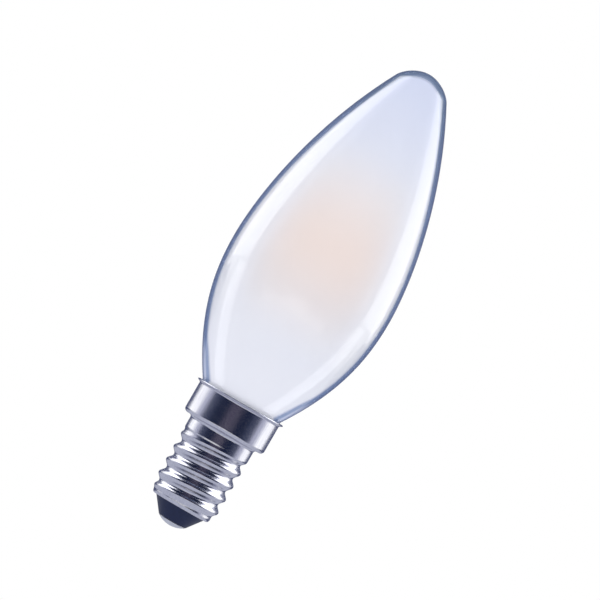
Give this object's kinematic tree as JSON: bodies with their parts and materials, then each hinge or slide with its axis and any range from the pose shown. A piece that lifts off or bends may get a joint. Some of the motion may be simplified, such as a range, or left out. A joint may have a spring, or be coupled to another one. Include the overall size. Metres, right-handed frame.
{
  "type": "led filament bulb",
  "caption": "Candle-shaped LED filament bulb: a frosted glass envelope on a nickel-plated small screw cap with a black insulator cone and a domed centre contact.",
  "frame": {"origin": "tip of the domed centre contact, on the axis of the screw cap", "axes": "Z runs along the axis from the cap to the tip of the glass; X is where the thread crest passes 6.45 mm above the origin; the driver board stands across Y"},
  "size_m": [0.0336, 0.0336, 0.0981],
  "materials": {
    "frosted_glass": "blown glass, frosted within, glossy outside",
    "nickel_plate": "bright nickel plate on thin brass sheet",
    "black_insulator": "black moulded insulator, half gloss",
    "contact_metal": "plated contact, satin",
    "bare_wire": "bare drawn wire",
    "circuit_board": "white solder mask on laminate",
    "moulded_package": "black moulding compound",
    "capacitor_sleeve": "shrunk plastic sleeve on an aluminium can",
    "chip_resistor": "fired ceramic chip"
  },
  "bodies": {
    "root": {"glass_envelope": "frosted_glass", "cap_shell": "nickel_plate", "cap_insulator": "black_insulator", "centre_contact": "contact_metal", "lead_in_wire_left": "bare_wire", "lead_in_wire_right": "bare_wire", "live_wire": "bare_wire", "neutral_wire": "bare_wire", "driver_board": "circuit_board", "bridge_rectifier": "moulded_package", "driver_chip": "moulded_package", "smoothing_capacitor": "capacitor_sleeve", "fuse_resistor": "chip_resistor", "sense_resistors": "chip_resistor"}
  },
  "joints": []
}
